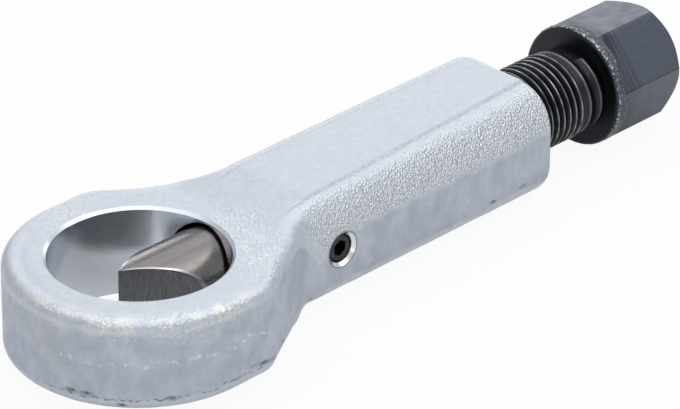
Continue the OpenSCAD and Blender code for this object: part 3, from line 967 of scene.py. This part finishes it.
def thread_places(start, end, pitch, angles):
    """Places along the axis of a grid whose rows follow the helix: a whole turn carries a row on by
    one pitch. Rows past either end are held there."""
    turns = np.arange(-1, int((end - start) / pitch) + 3)
    row = (turns[:, None] + THREAD_STEPS).reshape(-1, 1)
    return np.clip(start + pitch * (row + (angles - angles[0]) / math.tau), start, end)


def thread_quads(rows, columns):
    """Quads of a helical grid: the last column meets the first one a turn further on."""
    plain, per_turn = grid_quads(rows, columns, False), len(THREAD_STEPS)
    row = np.arange(rows - 1 - per_turn)
    last, first = row * columns + columns - 1, (row + per_turn) * columns
    return np.vstack([plain, np.stack([last, first, first + columns, last + columns], axis=-1)])


def thread_radius(place, angles, start, pitch, radius):
    """Radius of a sixty-degree thread: the crest is an eighth of the pitch wide, and the flanks fall
    by the square root of three to a depth of 0.6134 pitches."""
    phase = (place - start) / pitch - (angles - angles[0]) / math.tau
    aside = np.abs(phase - np.round(phase)) * pitch
    return radius - np.clip((aside - pitch / 16.0) * math.sqrt(3.0), 0.0, THREAD_DEPTH * pitch)


def threaded_piece(front, thread, rear):
    """Points and quads of a turned piece: closed rings, a thread's rows along its helix, and closed
    rings again."""
    columns = thread.shape[1]
    quads = [
        grid_quads(len(front), columns, True), thread_quads(len(thread), columns),
        grid_quads(len(rear), columns, True)]
    starts = np.cumsum([0, len(front), len(thread)]) * columns
    points = np.concatenate([front, thread, rear]).reshape(-1, 3)
    return points, np.concatenate([part + start for part, start in zip(quads, starts)])


def ring_rows(rows, angles):
    """Rings about the X axis from pairs of places and radii. One of a pair may be a plain number."""
    return np.concatenate([rings(place, radius, angles) for place, radius in rows])


def hexagon_angles(first):
    """Column angles round a hexagon whose first corner stands at the given angle."""
    steps = (SIDE_STEPS[None, :] + 60.0 * np.arange(6)[:, None]).reshape(-1)
    return first + np.radians(steps)


def hexagon_radius(angles, first, across, most):
    """Radius of a hexagon at each angle: half its width over the cosine of the angle from the flat's
    middle, held below the radius of the round bar."""
    aside = np.mod(angles - first, math.pi / 3) - math.pi / 6
    return np.minimum(across / 2 / np.cos(aside), most)


def seat_profile(centre, radius, mouth, side):
    """A ball's seat as (place, radius) points: a circle arc from its pole to its mouth."""
    limit = math.acos((mouth - centre) / radius * side)
    turn = np.linspace(0.0, limit, 14)
    return np.stack([centre + side * radius * np.cos(turn), radius * np.sin(turn)], axis=-1)


def neck_radius(place, angles, size):
    """Radius of the rolled neck: a rounded ridge that follows a helix over its valleys for two turns.
    It fades towards the end of the first turn, and the second begins with a torn lip on top."""
    seen, lip = math.radians(141.0), math.radians(108.0)
    turned = np.mod(angles - lip, math.tau)
    aside = place - size.ridge_x - size.ridge_pitch * (turned + lip - seen) / math.tau
    fading = ease((math.tau - turned) / math.radians(150.0))
    rising = ease(turned / math.radians(7.0))
    turns = [bell(aside - k * size.ridge_pitch, size.ridge_w) for k in (-1, 0, 1)]
    return size.neck_d / 2 + size.ridge_h * (turns[0] + turns[1] * fading + turns[2] * rising)


def spindle_radius(place, angles, size):
    """Radius of the forcing screw in front of its collar: a thread, held below the nose's bevel, that
    fades into the neck."""
    radius = size.thread_d / 2
    thread = thread_radius(place, angles, size.nose_x, size.pitch, radius)
    thread = np.minimum(thread, radius - size.nose_bevel + place - size.nose_x)
    fade = ease((place - size.thread_end) / size.run_out)
    return thread * (1.0 - fade) + neck_radius(place, angles, size) * fade


def spindle_rear(size, angles, neck_x):
    """The forcing screw behind its thread as rings: rolled neck, collar with a quarter-circle edge, and
    hexagon whose end is bevelled by a cone of forty-five degrees."""
    collar_r, back_bevel = size.collar_d / 2, 0.15 * MM
    hex_x = size.collar_x + size.collar_t
    flat_r = hexagon_radius(angles, size.hex_turn, size.hex_af, collar_r - 0.05 * MM)
    cone_r = size.hex_af / 2 / math.cos(math.pi / 6) - size.hex_bevel
    cone_x = size.hex_end - np.maximum(flat_r - cone_r, 0.0)
    neck = np.linspace(neck_x, size.collar_x, 46)[:, None]
    neck_r = spindle_radius(neck, angles, size)
    face_r = collar_r - size.collar_bevel
    bend = np.linspace(0.0, math.pi / 2, 7)[:, None]
    across = np.linspace(0.0, 1.0, 12)[:, None]
    level = np.linspace(0.0, 1.0, 30)[:, None]
    edge = np.linspace(size.collar_x + size.collar_bevel, hex_x - back_bevel, 10)[1:, None]
    return ring_rows([
        (neck, neck_r),
        (size.collar_x, neck_r[-1] + (face_r - neck_r[-1]) * across),
        (size.collar_x + size.collar_bevel * (1.0 - np.cos(bend)),
         face_r + size.collar_bevel * np.sin(bend)),
        (edge, collar_r),
        (np.array([[hex_x]]), collar_r - back_bevel),
        (hex_x + (cone_x - hex_x) * level, flat_r),
        (cone_x + (size.hex_end - cone_x) * across, flat_r + (cone_r - flat_r) * across),
        (size.hex_end, cone_r * (1.0 - across))], angles)


def make_spindle(size):
    """The forcing screw: ball seat, thread, rolled neck, collar and milled hexagon as rings of points
    about the axis, with a dented collar."""
    angles = hexagon_angles(size.hex_turn)
    neck_x = size.thread_end + size.run_out
    hex_x = size.collar_x + size.collar_t
    thread_r, face_r = size.thread_d / 2, size.collar_d / 2 - size.collar_bevel
    seat = seat_profile(BALL_X, BALL_R + size.seat_gap, size.nose_x, 1.0)
    nose = np.vstack([
        seat, [(size.nose_x, seat[-1, 1] + 0.3 * MM), (size.nose_x, thread_r - size.nose_bevel)]])
    place = thread_places(size.nose_x, neck_x, size.pitch, angles)
    points, quads = weld(*threaded_piece(
        rings(nose[:, :1], nose[:, 1:], angles),
        rings(place, spindle_radius(place, angles, size), angles),
        spindle_rear(size, angles, neck_x)))

    x, reach = points[:, 0], np.hypot(points[:, 1], points[:, 2])
    on_rim = ease((x - size.collar_x - 0.1 * MM) / (0.4 * MM))
    on_rim = on_rim * ease((hex_x + 0.1 * MM - x) / (0.2 * MM)) * ease((reach - face_r) / (0.3 * MM))
    dents = rough(points, 0.7 * MM, 21) * 0.05 * MM + rough(points, 0.35 * MM, 22) * 0.03 * MM
    points = points + normals(points, quads) * (on_rim * dents)[:, None]
    piece = new_object("forcing_screw", points, quads, [black_oxide(size)])
    crest = ease((reach - thread_r + 0.05 * MM) / (0.04 * MM)) * (x < neck_x)
    crest = crest * (0.42 + 0.5 * rough(points, 1.2 * MM, 23))
    # Painted highlight: the rolled ridges' tops take a quarter share of the worn colour through the
    # crest attribute
    ridge = ease((reach - size.neck_d / 2 - 0.6 * size.ridge_h) / (0.4 * size.ridge_h))
    ridge = ridge * (x > neck_x) * (x < size.collar_x - 0.05 * MM)
    on_flat = ease((x - hex_x + 0.02 * MM) / (0.02 * MM))
    paint(
        piece.data, crest=crest + 0.25 * ridge, rim=on_rim, flat=on_flat,
        rim_edge=bell(x - size.collar_x - 0.35 * MM, 0.45 * MM) * on_rim,
        marks=on_flat * (0.1 + 0.9 * ease((hex_x + 6.0 * MM - x) / (5.0 * MM))))
    dress(piece, "spindle", "spindle")


def make_chisel(size):
    """The chisel: straight lines from its upright edge to the bar's surface, then along the bar to the
    rear and into the ball's seat, with the keyway cut out of its side."""
    count, rear_bevel = 192, 0.5 * MM
    angles = np.arange(count) * math.tau / count
    bar_r = size.bar_d / 2
    tip, rear = CHISEL_LOW.x, CHISEL_HIGH.x
    slope = 1.0 / math.tan(size.wedge_angle / 2)
    y, z = bar_r * np.cos(angles), bar_r * np.sin(angles)
    broken = size.edge_r * np.abs(y) / bar_r
    front = tip + np.abs(y) * slope
    t = np.linspace(0.0, 1.0, 24)[:, None]
    flat_y = y * (1.0 - broken / np.maximum(np.abs(y), 1e-9)) * t
    wedge = np.stack(
        [tip + np.abs(flat_y) * slope, flat_y, np.broadcast_to(z, flat_y.shape)], axis=-1)
    start = front + broken * slope
    along = start + (rear - rear_bevel - start) * np.linspace(0.0, 1.0, 60)[:, None]
    bar = rings(along, bar_r, angles)
    seat = seat_profile(BALL_X, BALL_R + size.seat_gap, rear, -1.0)
    back = np.vstack([[(rear, bar_r - rear_bevel)], seat[::-1]])
    back = rings(back[:, :1], back[:, 1:], angles)
    grid = np.concatenate([wedge, bar, back])
    points, quads = weld(grid.reshape(-1, 3), grid_quads(len(grid), count, True))
    finishes = [tempered_steel(size)]
    piece = new_object("chisel_bar", points, quads, finishes)
    cut(piece, [new_object("keyway_cutter", *keyway_shape(size, bar_r), finishes)])
    x, y, z = places(piece.data).T
    plane = x - tip - np.abs(y) * slope
    ground = plane < 0.01 * MM
    on_bar = ~ground & (np.hypot(y, z) > bar_r - 0.01 * MM)
    # Painted highlight: a bright line along the broken edge round the ground faces
    line = bell(plane - 0.5 * size.edge_r * slope, 0.6 * size.edge_r * slope)
    paint(
        piece.data, ground=ground, edge=line * on_bar,
        scale=ease((x - 5.0 * MM) / (7.0 * MM)) * ease((4.0 * MM - z) / (3.0 * MM)),
        olive=ease((5.6 * MM - z) / (2.2 * MM)))
    dress(piece, "chisel", "chisel")


def keyway_shape(size, bar_r):
    """A slot with round ends, carried sideways out of the bar: two half circles joined by lines."""
    half = size.keyway_w / 2
    turn = np.linspace(math.pi / 2, math.pi * 1.5, 33)
    across, up = half * np.cos(turn), half * np.sin(turn)
    x = np.concatenate([size.keyway_front + across, size.keyway_rear - across])
    z = np.concatenate([up, -up])
    middle = (size.keyway_front + size.keyway_rear) / 2
    floor, out = size.keyway_depth - bar_r, -bar_r - 1.0 * MM
    loops = [
        np.stack([share * (x - middle) + middle, np.full_like(x, y), share * z], axis=-1)
        for share, y in ((0.0, floor), (1.0, floor), (1.0, out), (0.0, out))]
    grid = np.stack(loops)
    return weld(grid.reshape(-1, 3), grid_quads(len(loops), len(x), True))


def make_thrust_ball(size):
    """The ball: a half circle turned about the axis."""
    turn = np.linspace(0.0, math.pi, 41)
    profile = np.stack([BALL_X + BALL_R * np.cos(turn), BALL_R * np.sin(turn)], axis=-1)
    piece = new_object("bearing_ball", *lathe(profile, 80), [polished_ball(size)])
    dress(piece, "chisel", "thrust_ball")


def make_set_screw(size):
    """The set screw, turned about its own axis and then laid along -Y: dog point, thread, bevelled end
    and hexagon socket with a drilled floor."""
    angles = hexagon_angles(0.0)
    tip, top = -SCREW_HIGH.y, -SCREW_LOW.y
    radius, dog_r = size.thread_d / 2, size.dog_d / 2
    thread_top = top - size.bevel
    root = radius - THREAD_DEPTH * size.pitch
    place = thread_places(size.foot, thread_top, size.pitch, angles)
    thread = thread_radius(place, angles, size.foot, size.pitch, radius)
    lead = np.minimum(root + place - size.foot, radius)
    fade = ease((place - thread_top + 0.5 * size.pitch) / (0.5 * size.pitch))
    thread = np.minimum(thread * (1.0 - fade) + radius * fade, lead)
    front = np.array([
        (tip, 0.0), (tip, dog_r - 0.25 * MM), (tip + 0.25 * MM, dog_r), (size.foot, dog_r),
        (size.foot, root)])
    socket = hexagon_radius(angles, 0.0, size.socket_af, 1.0)
    floor, lip, rim = top - size.socket_depth, 0.12 * MM, radius - size.bevel
    share = np.linspace(0.0, 1.0, 8)[:, None]
    rear = ring_rows([
        (thread_top + size.bevel * share, radius - size.bevel * share),
        (top, rim + (socket + lip - rim) * share),
        (top - lip * share, socket + lip * (1.0 - share)),
        (top - lip + (floor - top + lip) * share, socket),
        (floor - 0.5 * MM * share, socket * (1.0 - share))], angles)
    points, quads = threaded_piece(
        rings(front[:, :1], front[:, 1:], angles), rings(place, thread, angles), rear)
    points, quads = weld(to_side_axis(points, SCREW_X), quads)
    piece = new_object("socket_set_screw", points, quads, [screw_black(size)])
    dress(piece, "body", "set_screw")


# Stage

def make_floor(size, height):
    """A pale floor just under the tool: a square sheet that is partly its own light for the camera, and
    less so in reflections, so that it looks white and keeps the tool's shadow."""
    half = 3.0
    corners = np.array([(-half, -half), (half, -half), (half, half), (-half, half)])
    points = np.column_stack([corners, np.full(4, height)])
    finish = Finish("pale_floor")
    finish.fill(finish.shader, {
        "Base Color": (*size.floor, 1.0), "Roughness": 0.9, "Specular IOR Level": 0.1})
    path = finish.add("ShaderNodeLightPath").outputs
    mirrored = finish.plus(path["Is Glossy Ray"], path["Is Transmission Ray"])
    seen = finish.times(path["Is Camera Ray"], size.floor_seen)
    share = finish.plus(seen, finish.times(mirrored, size.floor_mirrored))
    glow = finish.add("ShaderNodeEmission", {"Color": (1.0, 1.0, 1.0, 1.0), "Strength": 1.0})
    mixed = finish.add("ShaderNodeMixShader", {
        0: share, 1: finish.shader.outputs["BSDF"], 2: glow.outputs["Emission"]})
    output = finish.tree.nodes["Material Output"]
    finish.fill(output, {"Surface": mixed.outputs["Shader"]})
    floor = new_object("floor", points, np.array([[0, 1, 2, 3]]), [finish.material])


def standing(right, up, back, where):
    """The matrix of what stands at a place, from its directions to the right, up and back."""
    return Matrix([
        (right[k], up[k], back[k], where[k]) for k in range(3)] + [(0.0, 0.0, 0.0, 1.0)])


def make_camera(size):
    """The camera stands off the eye in the direction of its azimuth and elevation, rolled about its
    view and moved aside, so that the eye lies where it should in the picture."""
    azimuth, elevation = size.azimuth, size.elevation
    back = np.array([
        math.sin(azimuth) * math.cos(elevation), -math.cos(azimuth) * math.cos(elevation),
        math.sin(elevation)])
    right = np.array([math.cos(azimuth), math.sin(azimuth), 0.0])
    up = np.cross(back, right)
    turned = math.cos(size.roll) * right + math.sin(size.roll) * up
    upright = math.cos(size.roll) * up - math.sin(size.roll) * right
    where = size.distance * back + size.aside * turned + size.below * upright
    data = bpy.data.cameras.new("camera")
    data.sensor_width = 36.0
    data.lens = size.lens * data.sensor_width
    data.clip_start = 0.01
    camera = bpy.data.objects.new("camera", data)
    camera.matrix_world = standing(turned, upright, back, where)
    bpy.context.scene.collection.objects.link(camera)
    bpy.context.scene.camera = camera


def make_softbox(name, place, target, wide, high, radiance):
    """A soft lamp: a rectangle that faces a target. Its power is its radiance times pi and its area."""
    data = bpy.data.lights.new(name, "AREA")
    data.shape = "RECTANGLE"
    data.size, data.size_y = wide, high
    data.energy = radiance * math.pi * wide * high
    lamp = bpy.data.objects.new(name, data)
    away = np.array(place) - np.array(target)
    back = away / np.linalg.norm(away)
    right = np.cross((0.0, 0.0, 1.0), back)
    right = right / np.linalg.norm(right)
    lamp.matrix_world = standing(right, np.cross(back, right), back, place)
    lamp.visible_camera = False
    bpy.context.scene.collection.objects.link(lamp)


def make_stage(size):
    """Floor, camera, an even pale world and soft lamps above, behind and beside the tool."""
    scene = bpy.context.scene
    scene.view_settings.view_transform = "Standard"
    make_floor(size, CAD_LOW.z)
    make_camera(size)
    world = bpy.data.worlds.new("studio")
    world.use_nodes = True
    sky = world.node_tree.nodes["Background"].inputs
    sky["Color"].default_value = (*size.sky, 1.0)
    sky["Strength"].default_value = size.sky_strength
    scene.world = world
    middle = ((CAD_LOW + CAD_HIGH) / 2)[:]
    make_softbox("top_softbox", (0.10, -0.05, 1.00), (0.10, 0.0, 0.0), 2.0, 2.0, 0.88)
    make_softbox("rear_strip", (1.25, 0.85, 0.38), middle, 1.9, 0.40, 1.85)
    make_softbox("front_softbox", (-0.75, -0.75, 0.12), middle, 0.5, 0.4, 0.80)
    make_softbox("side_softbox", (0.80, -0.76, 0.94), middle, 0.9, 0.5, 1.00)


# Operators

class MakeStage(bpy.types.Operator):
    """Make the floor, the camera and the lamps"""
    bl_idname = "nut_splitter.make_stage"
    bl_label = "Stage"

    def execute(self, context):
        make_stage(context.scene.nut_splitter.stage)
        return {"FINISHED"}


class MakeBody(bpy.types.Operator):
    """Make the forged body"""
    bl_idname = "nut_splitter.make_body"
    bl_label = "Forged Body"

    def execute(self, context):
        make_body(context.scene.nut_splitter.body)
        return {"FINISHED"}


class MakeChisel(bpy.types.Operator):
    """Make the chisel"""
    bl_idname = "nut_splitter.make_chisel"
    bl_label = "Chisel"

    def execute(self, context):
        make_chisel(context.scene.nut_splitter.chisel)
        return {"FINISHED"}


class MakeThrustBall(bpy.types.Operator):
    """Make the ball between the forcing screw and the chisel"""
    bl_idname = "nut_splitter.make_thrust_ball"
    bl_label = "Thrust Ball"

    def execute(self, context):
        make_thrust_ball(context.scene.nut_splitter.chisel)
        return {"FINISHED"}


class MakeSpindle(bpy.types.Operator):
    """Make the forcing screw"""
    bl_idname = "nut_splitter.make_spindle"
    bl_label = "Forcing Screw"

    def execute(self, context):
        make_spindle(context.scene.nut_splitter.spindle)
        return {"FINISHED"}


class MakeSetScrew(bpy.types.Operator):
    """Make the set screw"""
    bl_idname = "nut_splitter.make_set_screw"
    bl_label = "Set Screw"

    def execute(self, context):
        make_set_screw(context.scene.nut_splitter.screw)
        return {"FINISHED"}


OPERATORS = (MakeStage, MakeBody, MakeChisel, MakeThrustBall, MakeSpindle, MakeSetScrew)


class NutSplitterPanel(bpy.types.Panel):
    """Lists the steps that make the nut splitter"""
    bl_idname = "VIEW3D_PT_nut_splitter"
    bl_label = "Nut Splitter"
    bl_space_type = "VIEW_3D"
    bl_region_type = "UI"
    bl_category = "Nut Splitter"

    def draw(self, context):
        for operator in OPERATORS:
            self.layout.operator(operator.bl_idname)


CLASSES = (
    ForgedBodySizes, ChiselSizes, SpindleSizes, SetScrewSizes, StageSizes, NutSplitterSizes,
    *OPERATORS, NutSplitterPanel)


def register():
    """Registers the classes and hangs the sizes on the scene."""
    for kind in CLASSES:
        bpy.utils.register_class(kind)
    bpy.types.Scene.nut_splitter = bpy.props.PointerProperty(type=NutSplitterSizes)


def unregister():
    """Takes the sizes off the scene and the classes back out."""
    del bpy.types.Scene.nut_splitter
    for kind in reversed(CLASSES):
        bpy.utils.unregister_class(kind)


def main():
    """Makes the stage and every piece."""
    register()
    steps = bpy.ops.nut_splitter
    steps.make_stage()
    steps.make_body()
    steps.make_chisel()
    steps.make_thrust_ball()
    steps.make_spindle()
    steps.make_set_screw()


if __name__ == "__main__":
    main()
